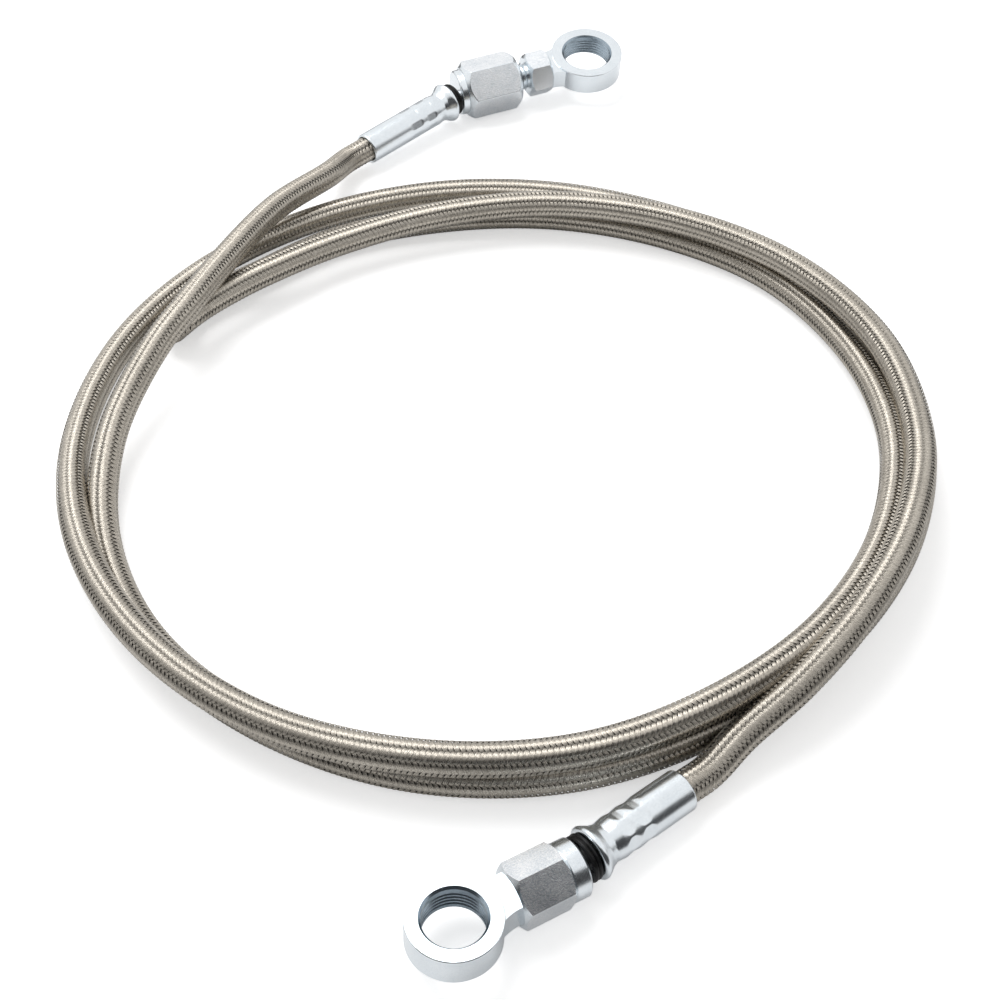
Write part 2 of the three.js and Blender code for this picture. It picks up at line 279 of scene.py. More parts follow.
def bumped(tree, shader, height, strength, distance, under=None):
    """Raises the surface by a height; several can be stacked."""
    inputs = {"Height": height, "Strength": strength, "Distance": distance}
    if under:
        inputs["Normal"] = under
    normal = add(tree, "ShaderNodeBump", **inputs).outputs[0]
    tree.links.new(normal, shader.inputs["Normal"])
    return normal


def set_look(tree, shader, colour=None, roughness=None):
    """Joins a colour and a roughness to the shader."""
    if colour:
        tree.links.new(colour, shader.inputs["Base Color"])
    if roughness:
        tree.links.new(roughness, shader.inputs["Roughness"])


print("node helpers are ready")

# %% [markdown]
# ### Zinc plate
#
# The fittings are turned and pressed from steel and plated with bright zinc, which has a bluish
# cast and a satin bloom. A mirror-like metal would look like chrome, so the roughness drifts with
# a soft noise, and very fine lines run round the axis where a lathe tool passed. The flats of a
# hexagon come from drawn bar and show a fine speckle instead, and the wall of a bolt hole is painted
# darker and bluer as painted shade inside the hole, so each of these gets its own values.

# %% Zinc plate, turned and drawn, and with painted shade in the bore
def zinc(name, light, dark, lines_per_mm, line_depth, speckle):
    """Zinc plate with lathe lines and a fine speckle, whose depths are in metres."""
    material, tree, shader = new_material(name)
    place = add(tree, "ShaderNodeTexCoord").outputs["Object"]
    cloud = grain(tree, place, 260)
    fine = grain(tree, place, 3600, 2.0)
    mixed = maths(tree, "MULTIPLY_ADD", fine, 0.6, maths(tree, "MULTIPLY", cloud, 0.4))
    colour = ramp(tree, mixed, (0.3, dark), (0.66, light))
    rough = maths(tree, "MULTIPLY_ADD", mixed, 0.16, 0.15)
    set_look(tree, shader, colour, rough)
    shader.inputs["Metallic"].default_value = 1.0
    along = add(tree, "ShaderNodeSeparateXYZ", i0=place).outputs["X"]
    waves_per_metre = lines_per_mm * 2 * math.pi / MM
    lines = maths(tree, "SINE", maths(tree, "MULTIPLY", along, waves_per_metre))
    turned_marks = bumped(tree, shader, lines, 1.0, line_depth)
    bumped(tree, shader, fine, 1.0, speckle, turned_marks)
    return material


turned_zinc = zinc(
    "turned_zinc", light=(0.82, 0.86, 0.89), dark=(0.70, 0.75, 0.79),
    lines_per_mm=5.5, line_depth=0.0000012, speckle=0.000003,
)
drawn_zinc = zinc(
    "drawn_zinc", light=(0.97, 0.98, 0.99), dark=(0.64, 0.69, 0.74),
    lines_per_mm=0.4, line_depth=0.0000004, speckle=0.000009,
)
# Painted shade: the bore's zinc is painted darker and bluer for the shade inside the bolt hole.
bore_zinc_painted_shade = zinc(
    "bore_zinc_painted_shade", light=(0.40, 0.47, 0.53), dark=(0.22, 0.28, 0.33),
    lines_per_mm=0.4, line_depth=0.0000004, speckle=0.000006,
)
print("zinc finishes:", turned_zinc.name, drawn_zinc.name, bore_zinc_painted_shade.name)

# %% [markdown]
# ### Rubber, bare steel and the dark liner
#
# The rubber rings are dull black with a faint bloom. The nipples inside the fittings are bare
# turned steel. Under the plait lies a liner that only shows through the small gaps; it is near
# black, partly its own colour and partly painted shade in the gaps of the plait.

# %% Rubber, bare steel, liner
def plain_finish(name, light, dark, metallic, rough, scale, depth, shine):
    """A mottled finish: rough is its lowest and highest roughness, depth that of its fine bumps."""
    material, tree, shader = new_material(name)
    place = add(tree, "ShaderNodeTexCoord").outputs["Object"]
    cloud = grain(tree, place, scale)
    spread = maths(tree, "MULTIPLY_ADD", cloud, rough[1] - rough[0], rough[0])
    set_look(tree, shader, ramp(tree, cloud, (0.35, dark), (0.7, light)), spread)
    shader.inputs["Metallic"].default_value = metallic
    shader.inputs["Specular IOR Level"].default_value = shine
    bumped(tree, shader, grain(tree, place, scale * 6), 1.0, depth)
    return material


rubber = plain_finish(
    "black_rubber", light=(0.009, 0.009, 0.010), dark=(0.004, 0.004, 0.004), metallic=0.0,
    rough=(0.22, 0.36), scale=900, depth=0.000006, shine=0.25,
)
steel = plain_finish(
    "bare_steel", light=(0.46, 0.47, 0.48), dark=(0.30, 0.31, 0.32), metallic=1.0,
    rough=(0.25, 0.45), scale=700, depth=0.000004, shine=0.5,
)
# The liner's near-black colour also paints the shade in the gaps of the plait.
liner = plain_finish(
    "liner_and_painted_gap_shade", light=(0.050, 0.045, 0.040), dark=(0.020, 0.018, 0.016), metallic=0.0,
    rough=(0.5, 0.7), scale=500, depth=0.000010, shine=0.2,
)
print("small finishes:", rubber.name, steel.name, liner.name)

# %% [markdown]
# ### Stainless wire
#
# Each strand of the plait is a flat ribbon of several fine wires side by side. Modelling every
# wire would take millions of faces, so the ribbon is real geometry and its wires are drawn by the
# finish: the first number of the texture place runs across the ribbon and gives the wires their
# round backs, as bumps and as a painted highlight along each back with painted shade between. The
# second runs along it and gives each wire its own tint. A number kept on each point says how far
# up the ribbon lies there, and painted shade darkens the wire where it dives under.

# %% Stainless wire
wires_in_strand = 6


def wire_finish():
    """Fine wires across a strand, with a painted highlight on each wire's back and painted shade where the
    strand dives under.
    """
    material, tree, shader = new_material("stainless_wire")
    coordinates = add(tree, "ShaderNodeTexCoord")
    place = add(tree, "ShaderNodeSeparateXYZ", i0=coordinates.outputs["UV"])
    across = maths(tree, "MULTIPLY", place.outputs["X"], float(wires_in_strand))
    within = maths(tree, "FRACT", across)
    round_back = maths(tree, "SINE", maths(tree, "MULTIPLY", within, math.pi))
    wire_number = maths(tree, "FLOOR", across)
    lane = add(tree, "ShaderNodeCombineXYZ", X=wire_number, Y=place.outputs["Y"])
    tint_noise = add(tree, "ShaderNodeTexNoise", Vector=lane.outputs[0], Scale=0.9, Detail=2.0)
    tint = tint_noise.outputs["Fac"]
    cloud = grain(tree, coordinates.outputs["Object"], 60)
    tone = maths(tree, "ADD", maths(tree, "MULTIPLY", tint, 0.5), maths(tree, "MULTIPLY", cloud, 0.2))
    # Painted highlight: the round back of each wire is painted lighter, and its edges darker.
    tone_and_painted_highlight = maths(tree, "ADD", tone, maths(tree, "MULTIPLY", round_back, 0.3))
    toned_with_painted_highlight = ramp(tree, tone_and_painted_highlight, (0.25, (0.16, 0.140, 0.116)), (0.75, (0.72, 0.670, 0.590)))
    # Painted shade: the strand is painted darker where it dives under the others.
    raised = add(tree, "ShaderNodeAttribute", {"attribute_name": "raised"}).outputs["Fac"]
    painted_under_shade = maths(tree, "MULTIPLY_ADD", raised, 0.72, 0.28)
    painted_under_shading = add(tree, "ShaderNodeVectorMath", {"operation": "SCALE"}, i0=toned_with_painted_highlight, Scale=painted_under_shade)
    colour = painted_under_shading.outputs[0]
    rough = maths(tree, "MULTIPLY_ADD", tint, 0.16, 0.20)
    set_look(tree, shader, colour, rough)
    shader.inputs["Metallic"].default_value = 1.0
    bumped(tree, shader, round_back, 0.6, 0.00005)
    return material


wire = wire_finish()
print("wires across one strand:", wires_in_strand)

# %% [markdown]
# ## The plait
#
# The photograph shows rows of small teeth running along the hose. They come from a two-over,
# two-under plait: strands wind round the hose both ways, and each lies over two strands, then under
# two. A bumpy picture on a plain tube could suggest it, but its edge would stay smooth and its gaps
# would never be dark. So each strand is a ribbon that really goes over and under. Eight strands
# wind each way. Because the pattern lines up along the hose, how high a strand lies depends only on
# where it is round the hose, and one rule lifts the strands that wind one way where it lowers the
# others. A strand is pinched where it dives from over to under, and there a small dark gap opens
# beside it, which makes the teeth stand out.

# %% Measures of the plait
strands_each_way = 8
strand_spacing = 0.00096
strand_cover = 0.98
strand_pinch = 0.7
braid_radius = 0.00270
braid_lift = 0.00024
ribbon_crown = 0.00007
strand_offset = 97.0
strand_edge_steepness = 1.6
steps_per_turn = 32
liner_radius = 0.00263
liner_sides = 12
liner_step = 0.0035
lay = strands_each_way * strand_spacing
turns = hose_length / lay
print("one turn of a strand takes", round(lay / MM, 2), "mm of hose;", round(turns), "turns in all")


def around_hose(distance, angle, radius):
    """Places at a distance along the hose, an angle round it and a radius from its middle line."""
    centre = np.stack([np.interp(distance, travel, line[:, i]) for i in range(3)], axis=-1)
    across = np.stack([np.interp(distance, travel, side[:, i]) for i in range(3)], axis=-1)
    above = np.stack([np.interp(distance, travel, up[:, i]) for i in range(3)], axis=-1)
    out = across * np.cos(angle)[..., None] + above * np.sin(angle)[..., None]
    return centre + out * np.asarray(radius)[..., None]


# %% Wind the strands
def strand(number, way_round):
    """One ribbon: places, faces, texture places and heights in the plait. way_round is 1 or -1."""
    steps = np.arange(-steps_per_turn, round(turns * steps_per_turn) + 1)
    swept = steps * 2 * math.pi / steps_per_turn
    offset = number + (0.5 if way_round > 0 else 0.0)
    middle = swept / (2 * math.pi) * lay + offset * strand_spacing
    keep = (middle >= 0) & (middle <= hose_length)
    swept, middle = swept[keep], middle[keep]
    angle = way_round * swept
    wave = np.clip(strand_edge_steepness * np.sin(angle * strands_each_way / 2), -1, 1)
    radius = braid_radius + braid_lift * wave * way_round
    pitch = lay / (2 * math.pi)
    slope = math.hypot(braid_radius, pitch)
    squeeze = strand_pinch + (1 - strand_pinch) * np.abs(wave)
    width = (strand_cover * strand_spacing * braid_radius / slope * squeeze)[:, None]
    edges = np.array([-0.5, 0.0, 0.5])
    distance = middle[:, None] + edges * width * braid_radius / slope
    turned = angle[:, None] - way_round * edges * width * pitch / slope / braid_radius
    crown = radius[:, None] + np.array([0.0, ribbon_crown, 0.0])
    places = around_hose(np.clip(distance, 0, hose_length), turned, crown).reshape(-1, 3)
    run = np.arange(len(middle)) * slope * 2 * math.pi / steps_per_turn / MM
    along_strand = run[:, None] + strand_offset * number
    marks = np.stack(np.broadcast_arrays(edges + 0.5, along_strand), axis=-1).reshape(-1, 2)
    raised = np.repeat(0.5 + 0.5 * wave * way_round, 3)
    first = (3 * np.arange(len(middle) - 1)[:, None] + np.array([0, 1])).reshape(-1)
    corners = [first, first + 1, first + 4, first + 3]
    faces = np.stack(corners if way_round > 0 else corners[::-1], axis=1)
    return places, faces, marks, raised


def gathered(sets):
    """Several sets of places, faces, texture places and heights as one set."""
    starts = np.cumsum([0] + [len(one[0]) for one in sets[:-1]])
    places = np.vstack([one[0] for one in sets])
    faces = np.vstack([one[1] + start for one, start in zip(sets, starts)])
    marks = np.vstack([one[2] for one in sets])
    raised = np.concatenate([one[3] for one in sets])
    return places, faces, marks, raised


def strand_set(way_round):
    """All the strands that wind one way, as one set."""
    return gathered([strand(number, way_round) for number in range(strands_each_way)])


def tube(radius, sides, step):
    """A plain round tube along the hose, whose open ends lie hidden in the sleeves."""
    distance = np.linspace(0, hose_length, round(hose_length / step) + 1)
    angle = np.arange(sides) * 2 * math.pi / sides
    grid = np.broadcast_arrays(distance[:, None], angle[None, :])
    places = around_hose(grid[0], grid[1], np.full(grid[0].shape, radius)).reshape(-1, 3)
    ring = np.arange(sides)
    after = (ring + 1) % sides
    rows = np.arange(len(distance) - 1)[:, None] * sides
    faces = np.stack([rows + ring, rows + after, rows + after + sides, rows + ring + sides], axis=-1)
    return places, faces.reshape(-1, 4), np.zeros((len(places), 2)), np.zeros(len(places))


print("strands are ready to wind:", 2 * strands_each_way)

# %% Make meshes from the places
def mesh_from(name, sets, materials):
    """An object from one or more sets, one material each."""
    places, faces, marks, raised = gathered(sets)
    mesh = bpy.data.meshes.new(name)
    mesh.from_pydata(places.tolist(), [], faces.tolist())
    uv = mesh.uv_layers.new(name="strand")
    uv.data.foreach_set("uv", marks[faces.reshape(-1)].astype(np.float32).reshape(-1))
    for material in materials:
        mesh.materials.append(material)
    height = mesh.attributes.new("raised", "FLOAT", "POINT")
    height.data.foreach_set("value", raised.astype(np.float32))
    slots = np.concatenate([np.full(len(one[1]), i) for i, one in enumerate(sets)])
    mesh.polygons.foreach_set("material_index", slots.astype(np.int32))
    mesh.shade_smooth()
    made = bpy.data.objects.new(name, mesh)
    scene.collection.objects.link(made)
    return made


hose = mesh_from("hose", [strand_set(1), tube(liner_radius, liner_sides, liner_step)], [wire, liner])
back_strands = mesh_from("hose_back_strands", [strand_set(-1)], [wire])
for piece in (hose, back_strands):
    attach(piece, "root")
    print(piece.name, "has", 2 * len(piece.data.polygons), "triangles")
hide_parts("braided_hose")

# %% [markdown]
# ## Forms for the fittings
#
# The pieces of a fitting are made as a machinist makes them. A turned form is a profile spun about
# the axis. A hexagon is a six-sided bar whose corners are turned off, which is the part that a bar
# and a turned form have in common. An eye is turned about its own upright axis. Solids are joined
# and cut with the boolean that Blender keeps for closed solids. The splinters that this leaves on
# flat faces would spoil the shading, so they are merged. Then every sharp edge is given a small
# bevel, because a plated edge is never perfectly sharp and it is the bevels that catch the light.

# %% Turned forms and bars
round_sides = 96


def link_mesh(name, places, faces):
    """An object made from places and faces."""
    mesh = bpy.data.meshes.new(name)
    mesh.from_pydata([tuple(place) for place in places], [], faces)
    made = bpy.data.objects.new(name, mesh)
    scene.collection.objects.link(made)
    return made


def turned(name, profile, axis="X", sides=round_sides):
    """Spins a profile of (distance along the axis, radius) round it; the profile closes itself."""
    form = bmesh.new()
    places = [Vector((along, radius, 0)) for along, radius in profile]
    verts = [form.verts.new(place) for place in places]
    edges = [form.edges.new(pair) for pair in zip(verts, verts[1:] + verts[:1])]
    bmesh.ops.spin(
        form, geom=verts + edges, cent=(0, 0, 0), axis=(1, 0, 0), angle=2 * math.pi,
        steps=sides, use_merge=True,
    )
    bmesh.ops.remove_doubles(form, verts=form.verts, dist=1e-4)
    bmesh.ops.dissolve_degenerate(form, dist=1e-5, edges=form.edges)
    bmesh.ops.recalc_face_normals(form, faces=form.faces)
    if axis == "Z":
        form.transform(turn(-90, "Y"))
    mesh = bpy.data.meshes.new(name)
    form.to_mesh(mesh)
    form.free()
    made = bpy.data.objects.new(name, mesh)
    scene.collection.objects.link(made)
    return made


def extruded(name, outline, low, high, axis="Z"):
    """A flat outline pushed along an axis, from low to high."""
    count = len(outline)
    if axis == "Z":
        places = [(x, y, z) for z in (low, high) for x, y in outline]
    else:
        places = [(z, x, y) for z in (low, high) for x, y in outline]
    sides = [(i, (i + 1) % count, (i + 1) % count + count, i + count) for i in range(count)]
    caps = [tuple(reversed(range(count))), tuple(range(count, 2 * count))]
    return link_mesh(name, places, caps + sides)


def combine(base, other, operation):
    """Joins or cuts base with other, and removes other."""
    step = base.modifiers.new("step", "BOOLEAN")
    step.operation = operation
    step.object = other
    step.solver = "MANIFOLD"
    settle(base)
    bpy.data.objects.remove(other)
    return base


def settle(piece):
    """Puts the result of a piece's modifiers into its mesh."""
    graph = bpy.context.evaluated_depsgraph_get()
    result = bpy.data.meshes.new_from_object(piece.evaluated_get(graph))
    piece.modifiers.clear()
    piece.data = result
    return piece


def hexagon_bar(start, stop, across_flats, roll, corner_break=0.35, slant=1.0):
    """A hexagonal bar, rolled from where its flats lie above and below, with turned-off corners."""
    corner = across_flats / math.sqrt(3)
    angles = [math.radians(60 * i) for i in range(6)]
    outline = [(corner * math.cos(angle), corner * math.sin(angle)) for angle in angles]
    bar = extruded("bar", outline, start, stop, "X")
    bar.data.transform(turn(roll, "X"))
    face = across_flats / 2 - corner_break
    chamfer = slant * (corner - face)
    ends = turned("ends", [
        (start, 0), (start, face), (start + chamfer, corner + corner_break),
        (stop - chamfer, corner + corner_break), (stop, face), (stop, 0),
    ])
    return combine(bar, ends, "INTERSECT")


print("a round form has", round_sides, "sides")

# %% [markdown]
# ### Eyes and necks
#
# The neck is flat and flares into the eye, as a forging does. The hole for the banjo bolt is smooth
# near its top and has fine grooves below, which show clearly inside the near eye. A flat land is
# left between the grooves: it mirrors the pale table while a groove's side mirrors the dark room,
# and so the hole shows bright and dark rings.

# %% Eye, neck and grooved hole
smooth_top = 1.4


def eye_and_neck(end, hexagon_face, centre):
    """The ring for the bolt and the flat neck that joins it to the hexagon."""
    outer, half = end["eye"] / 2, end["eye_thickness"] / 2
    edge = 0.1
    eye = turned("eye", [
        (-half, 0), (-half, outer - edge), (-half + edge, outer),
        (half - edge, outer), (half, outer - edge), (half, 0),
    ], "Z", 2 * round_sides)
    eye.data.transform(Matrix.Translation((centre, 0, 0)))
    waist, shoulder = end["neck_width"] / 2, outer * 0.8
    meets = centre - math.sqrt(outer ** 2 - shoulder ** 2)
    bend = meets - waist / 4
    flare = []
    for t in np.linspace(0, 1, 12):
        x = (1 - t) ** 2 * hexagon_face + 2 * t * (1 - t) * bend + t ** 2 * meets
        y = (1 - t) ** 2 * waist + 2 * t * (1 - t) * waist + t ** 2 * shoulder
        flare.append((x, y))
    outline = [(x, -y) for x, y in flare] + [(centre, -waist), (centre, waist)] + flare[::-1]
    neck_half = half - 0.35
    neck = extruded("neck", outline, -neck_half, neck_half)
    return combine(eye, neck, "UNION")


def grooved_hole(end, centre):
    """What the bolt hole cuts away: a countersink at each face and the grooves between."""
    radius, half = end["bolt"] / 2, end["eye_thickness"] / 2
    edge, groove, groove_depth, pitch = 0.4, 0.5, 0.26, 0.8
    profile = [(half + 1, 0), (half + 1, radius + edge + 1), (half - edge, radius)]
    level = half - smooth_top
    while level - groove > -half + edge:
        profile += [(level, radius), (level - groove / 2, radius + groove_depth), (level - groove, radius)]
        level -= pitch
    profile += [(-half + edge, radius), (-half - 1, radius + edge + 1), (-half - 1, 0)]
    hole = turned("hole", profile, "Z", 2 * round_sides)
    hole.data.transform(Matrix.Translation((centre, 0, 0)))
    return hole


print("grooves start", smooth_top, "mm below the top of each eye")

# %% Put a finished piece in its place
def place_piece(piece, name, matrix, finish, node, bevel=0.12):
    """Softens the edges, turns millimetres into metres, and hands the piece to the frame."""
    piece.name = name
    if bevel:
        form = bmesh.new()
        form.from_mesh(piece.data)
        bmesh.ops.dissolve_limit(form, angle_limit=math.radians(0.3), verts=form.verts, edges=form.edges)
        form.to_mesh(piece.data)
        form.free()
        piece.data.shade_smooth()
        soft = piece.modifiers.new("soft_edges", "BEVEL")
        soft.width = bevel
        soft.segments = 2
        soft.limit_method = "ANGLE"
        soft.angle_limit = math.radians(28)
        soft.harden_normals = True
        settle(piece)
    else:
        piece.data.shade_smooth()
    piece.data.name = name
    piece.data.transform(Matrix.Scale(MM, 4))
    location, rotation, _ = matrix.decompose()
    piece.matrix_world = Matrix.Translation(location * MM) @ rotation.to_matrix().to_4x4()
    piece.data.materials.clear()
    piece.data.materials.append(finish)
    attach(piece, "root")
    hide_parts(node)
    print(name, "has", len(piece.data.polygons), "faces")
    return piece


# %% [markdown]
# ## The near body
#
# Collar, hexagon, neck and eye are one piece of steel here. The hexagon's flats keep the drawn
# finish, and the rest is turned.

# %% Near body
def round_bar(start, stop, radius, edge=0.35):
    """A turned bar with its edges taken off."""
    return turned("round_bar", [
        (start, 0), (start, radius - edge), (start + edge, radius),
        (stop - edge, radius), (stop, radius - edge), (stop, 0),
    ])


def give_flats(piece, start, stop, finish):
    """Gives the drawn finish to the flats of a hexagon between two places along the piece."""
    piece.data.materials.append(finish)
    slot = len(piece.data.materials) - 1
    for face in piece.data.polygons:
        x = face.center.x / MM
        if start < x < stop and abs(face.normal.x) < 0.01 and face.area > 8 * MM * MM:
            face.material_index = slot


def give_bore(piece, centre, radius, finish):
    """Gives the wall of the bolt hole the darker zinc that paints the shade inside the bore."""
    piece.data.materials.append(finish)
    slot = len(piece.data.materials) - 1
    for face in piece.data.polygons:
        x, y, z = face.center / MM
        inward = face.normal.x * (x - centre) + face.normal.y * y < 0
        if math.hypot(x - centre, y) < radius + 0.35 and inward and abs(face.normal.z) < 0.95:
            face.material_index = slot


near_face = collar_face(near)
near_hexagon = near_face + near["collar_length"]
near_hexagon_end = near_hexagon + near["hexagon_length"]
near_eye = near_hexagon_end + near["neck_length"]
body = round_bar(near_face, near_hexagon + 0.35, near["collar"] / 2)
combine(body, hexagon_bar(near_hexagon, near_hexagon_end, near["hexagon"], near["hexagon_roll"]), "UNION")
combine(body, eye_and_neck(near, near_hexagon_end - 0.35, near_eye), "UNION")
combine(body, grooved_hole(near, near_eye), "DIFFERENCE")
near_body = place_piece(
    body, "near_body", leaning_matrix(near), turned_zinc, "near_banjo_body",
)
give_flats(near_body, near_hexagon, near_hexagon_end, drawn_zinc)
give_bore(near_body, near_eye, near["bolt"] / 2, bore_zinc_painted_shade)

# %% [markdown]
# ## The far nut and body
#
# The far fitting has a long separate nut. A short threaded stub shows between it and the small
# hexagon of the eye, so its thread is turned as a row of grooves.

# %% Far nut
far_face = collar_face(far)
nut_start = far_face + far["collar_length"]
nut_end = nut_start + far["nut_length"]
nut = round_bar(far_face, nut_start + 0.35, far["collar"] / 2)
combine(nut, hexagon_bar(nut_start, nut_end, far["nut"], far["nut_roll"], 0.5, 1.4), "UNION")
combine(nut, round_bar(nut_end - 4, nut_end + 1, far["stub"] / 2 + gap, 0), "DIFFERENCE")
far_nut = place_piece(nut, "far_nut", leaning_matrix(far), turned_zinc, "far_union_nut")
give_flats(far_nut, nut_start, nut_end, drawn_zinc)

# %% Far body
def threaded_stub(start, stop, radius, pitch=0.9, depth=0.45):
    """A bar turned with a row of grooves, like a thread seen from the side."""
    profile = [(start, 0), (start, radius - depth)]
    place = start
    while place + pitch <= stop:
        profile += [(place + pitch / 2, radius), (place + pitch, radius - depth)]
        place += pitch
    return turned("stub", profile + [(stop, radius - depth), (stop, 0)])


far_hexagon = nut_end + far["stub_shown"]
far_hexagon_end = far_hexagon + far["hexagon_length"]
far_eye = far_hexagon_end + far["neck_length"]
body = threaded_stub(nut_end - 3, far_hexagon + 0.35, far["stub"] / 2)
combine(body, hexagon_bar(far_hexagon, far_hexagon_end, far["hexagon"], far["hexagon_roll"]), "UNION")
combine(body, eye_and_neck(far, far_hexagon_end - 0.35, far_eye), "UNION")
combine(body, grooved_hole(far, far_eye), "DIFFERENCE")
far_body = place_piece(
    body, "far_body", leaning_matrix(far), turned_zinc, "far_banjo_body", 0.1,
)
give_flats(far_body, far_hexagon, far_hexagon_end, drawn_zinc)
give_bore(far_body, far_eye, far["bolt"] / 2, bore_zinc_painted_shade)

# %% [markdown]
# ## The pressed sleeves
#
# A press with eight jaws squeezes each sleeve on to the hose in two bites, one beside the other. The
# jaws leave flats, and where the two bites nearly meet a small diamond of the round sleeve is left
# standing. The sleeve's surface is a grid whose radius is the lesser of three things: the round
# sleeve, the flat of a jaw, and the slope at the jaw's end. This gives the diamonds without cutting.

# %% Sleeves
def sleeve(end, bites):
    """A sleeve pressed in two bites, each given by its two ends along the fitting."""
    length, flare = end["ferrule_length"], end["flare"] / 2
    body_radius, mouth_radius, tail_radius = 3.7, 3.08, 2.2
    jaw_depth, jaw_slope, jaws = end["jaw_depth"], 0.22, 8
    waist = length - 5.2
    profile = [
        (0, body_radius - 0.2), (0.15, body_radius - 0.05), (0.3, body_radius), (waist, body_radius),
        (length - 3.4, body_radius - 0.25), (length - 2.2, body_radius + 0.15),
        (length - 1.2, flare - 0.25), (length - 0.7, flare), (length - 0.3, flare - 0.05),
        (length, flare - 0.35),
    ]
    profile_x, profile_r = zip(*profile)
    stretches = [np.linspace(0, 0.5, 6), np.linspace(0.5, waist, 90), np.linspace(waist, length, 32)]
    along = np.unique(np.concatenate(stretches))
    count = 128
    angle = np.arange(count) * 2 * math.pi / count
    from_flat = angle % (2 * math.pi / jaws) - math.pi / jaws
    places = []
    for x in along:
        radius = np.full(count, np.interp(x, profile_x, profile_r))
        for start, stop in bites:
            outside = max(start - x, x - stop, 0)
            jaw = (body_radius - jaw_depth) / np.cos(from_flat) + jaw_slope * outside
            radius = np.minimum(radius, jaw)
        places += [(x, r * math.cos(a), r * math.sin(a)) for r, a in zip(radius, angle)]
    inner = [
        (length, tail_radius), (length - 1.5, tail_radius), (length - 1.5, mouth_radius),
        (0.12, mouth_radius), (0, mouth_radius + 0.12),
    ]
    for x, r in inner:
        places += [(x, r * math.cos(a), r * math.sin(a)) for a in angle]
    rings = len(along) + len(inner)
    faces = []
    for i in range(rings):
        low, high = i * count, (i + 1) % rings * count
        faces += [(low + j, low + (j + 1) % count, high + (j + 1) % count, high + j) for j in range(count)]
    made = link_mesh("sleeve", places, faces)
    made.data.flip_normals()
    return made


near_sleeve = place_piece(
    sleeve(near, [(9.4, 10.6), (12.8, 13.7)]), "near_sleeve", sleeve_matrix(near), turned_zinc,
    "near_ferrule", 0,
)
far_sleeve = place_piece(
    sleeve(far, [(12.5, 15.5), (17.7, 20.0)]), "far_sleeve", sleeve_matrix(far), turned_zinc,
    "far_ferrule", 0,
)

# %% [markdown]
# ## Rubber rings and nipples
#
# Each ring is moulded with a shallow groove round its middle. The nipples keep the engineer's
# solids, because hardly any of them shows, and only get their finish.

# %% Rings and nipples
def grooved_ring(end):
    """A rubber ring with a groove round its middle."""
    start = end["ferrule_length"] + gap / 2
    stop = start + end["ring_width"] + gap / 2
    outer, inner, edge, groove, half_groove = end["ring"] / 2, 2.4, 0.3, 0.3, 0.25
    middle = (start + stop) / 2
    return turned("ring", [
        (start, inner), (start, outer - edge), (start + edge, outer), (middle - half_groove, outer),
        (middle, outer - groove), (middle + half_groove, outer), (stop - edge, outer),
        (stop, outer - edge), (stop, inner),
    ])


near_ring = place_piece(
    grooved_ring(near), "near_ring", sleeve_matrix(near), rubber, "near_seal_ring", 0.08,
)
far_ring = place_piece(
    grooved_ring(far), "far_ring", sleeve_matrix(far), rubber, "far_seal_ring", 0.08,
)
for name in ("near_nipple", "far_nipple"):
    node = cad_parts[name]
    node.data.materials.clear()
    node.data.materials.append(steel)
    print(name, "keeps its solid and gets", steel.name)

# %% [markdown]
# ## The length of the hose
#
# The length of the hose is printed.

print("declared a hose of", round(hose_length, 3), "m")

# %% [markdown]
# ## Floor and light
#
# The picture was taken on a seamless white table in a bright tent. The floor is a wide white sheet
# that keeps soft shadows. The light comes from all round, and one large lamp above and behind gives
# the shadows a direction. Metal needs something dark to mirror as well, or it looks like white
# plastic. A dark card near the camera, which only the metal sees, paints that dark reflection. The
# room darkens low down in what metal mirrors, and the table is painted darker far out in what metal
# mirrors, a painted shade which draws the dark bands along the sleeves.

# %% Floor
def mirror_rays(tree, rays):
    """1 for rays that mirror something or pass through it."""
    return maths(tree, "MAXIMUM", rays["Is Glossy Ray"], rays["Is Transmission Ray"])


def choose(tree, factor, low, high):
    """One of two colours, or something between them; each is a colour or another node's output."""
    node = add(tree, "ShaderNodeMix", {"data_type": "RGBA"}, Factor=factor)
    for socket, value in ((node.inputs[6], low), (node.inputs[7], high)):
        if isinstance(value, bpy.types.NodeSocket):
            tree.links.new(value, socket)
        else:
            socket.default_value = (value, value, value, 1)
    return node.outputs[2]


def floor_finish():
    """White where it is seen, with its shadows kept; in what the metal mirrors, painted shade darkens it
    far out.
    """
    material, tree, shader = new_material("white_table")
    rays = add(tree, "ShaderNodeLightPath").outputs
    place = add(tree, "ShaderNodeNewGeometry").outputs["Position"]
    far_out = add(tree, "ShaderNodeVectorMath", {"operation": "LENGTH"}, i0=place).outputs["Value"]
    # Painted shade: what the metal mirrors of the table is painted dark beyond this distance.
    pale_out_to, dark_from = 0.138, 0.168
    painted_far_shade = add(tree, "ShaderNodeMapRange", Value=far_out, i1=pale_out_to, i2=dark_from).outputs[0]
    mirrored = choose(tree, painted_far_shade, 0.95, 0.10)
    unseen = choose(tree, mirror_rays(tree, rays), 0.55, mirrored)
    tree.links.new(choose(tree, rays["Is Camera Ray"], unseen, 0.85), shader.inputs["Base Color"])
    shader.inputs["Emission Color"].default_value = (1, 1, 1, 1)
    glow = maths(tree, "MULTIPLY", rays["Is Camera Ray"], 0.50)
    tree.links.new(glow, shader.inputs["Emission Strength"])
    shader.inputs["Roughness"].default_value = 0.8
    shader.inputs["Specular IOR Level"].default_value = 0.0
    return material


reach = 3
floor_outline = [(-reach, -reach), (reach, -reach), (reach, reach), (-reach, reach)]
floor = extruded("floor", floor_outline, -0.004, -0.0002)
floor.data.materials.append(floor_finish())
print("the floor is", 2 * reach, "m across")

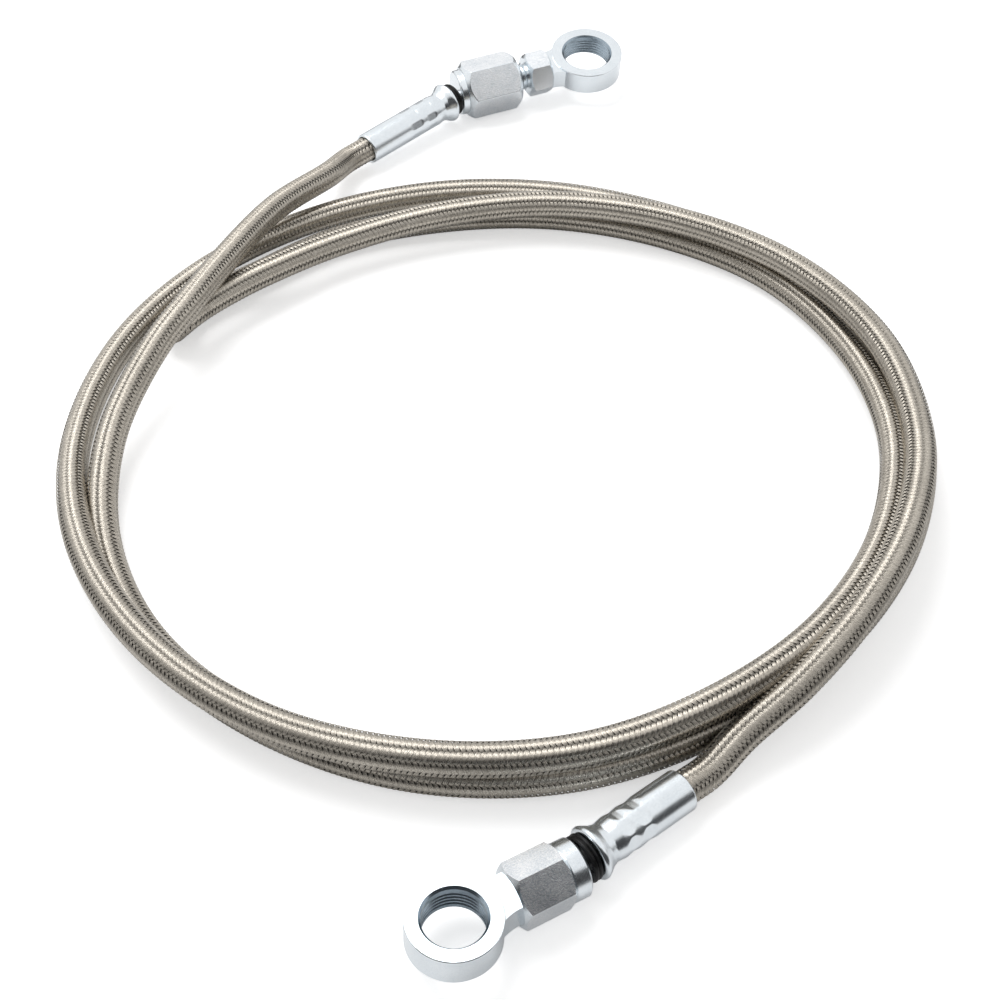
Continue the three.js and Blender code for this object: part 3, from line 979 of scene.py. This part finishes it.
# %% Dark card behind the camera
def card_finish():
    """Matt, nearly black and a little uneven."""
    material, tree, shader = new_material("dark_card")
    place = add(tree, "ShaderNodeTexCoord").outputs["Object"]
    cloud = grain(tree, place, 8)
    set_look(tree, shader, ramp(tree, cloud, (0.3, (0.04, 0.04, 0.042)), (0.7, (0.06, 0.06, 0.063))))
    shader.inputs["Roughness"].default_value = 0.9
    return material


card_left, card_right, card_height = -0.75, 0.9, 0.43
card_away, card_thickness = 0.325, 0.005
card_outline = [(card_left, 0.0), (card_right, 0.0), (card_right, card_height), (card_left, card_height)]
card_places = [(x, -y, z) for y in (card_away + card_thickness, card_away) for x, z in card_outline]
card_faces = [(0, 1, 2, 3), (7, 6, 5, 4), (0, 4, 5, 1), (1, 5, 6, 2), (2, 6, 7, 3), (3, 7, 4, 0)]
card = link_mesh("dark_card", card_places, card_faces)
card.data.materials.append(card_finish())
# Painted dark reflection: only mirror rays see the card, which stands for the dark room.
card.visible_camera = False
card.visible_diffuse = False
card.visible_shadow = False
print("the card stands", card_away, "m in front of the middle and is", card_height, "m high")

# %% Room and lamp
scene.view_settings.view_transform = "Standard"
world = bpy.data.worlds.new("room")
scene.world = world
world.use_nodes = True
room = world.node_tree
room.nodes.clear()
direction = add(room, "ShaderNodeTexCoord").outputs["Generated"]
parts = add(room, "ShaderNodeSeparateXYZ", i0=direction).outputs
slanted = maths(room, "MULTIPLY_ADD", parts["Y"], 0.5, parts["Z"])
raised = add(room, "ShaderNodeMapRange", Value=slanted, i1=0.0, i2=0.30).outputs[0]
rays = add(room, "ShaderNodeLightPath").outputs
mirrored = choose(room, raised, 0.25, 1.0)
unseen = choose(room, mirror_rays(room, rays), 0.60, mirrored)
seen = choose(room, rays["Is Camera Ray"], unseen, 1.0)
sky = add(room, "ShaderNodeBackground", Color=seen, Strength=1.0)
world_output = add(room, "ShaderNodeOutputWorld")
room.links.new(sky.outputs[0], world_output.inputs["Surface"])

lamp_data = bpy.data.lights.new("tent_lamp", "AREA")
lamp_data.shape = "DISK"
lamp_data.size = 0.45
lamp_data.energy = 2.2
lamp = bpy.data.objects.new("tent_lamp", lamp_data)
lamp.location = (-0.20, 0.20, 0.55)
lamp.rotation_euler = (-lamp.location).to_track_quat("-Z", "Y").to_euler()
scene.collection.objects.link(lamp)
print("lamp of", lamp_data.energy, "W at", tuple(round(v, 2) for v in lamp.location))
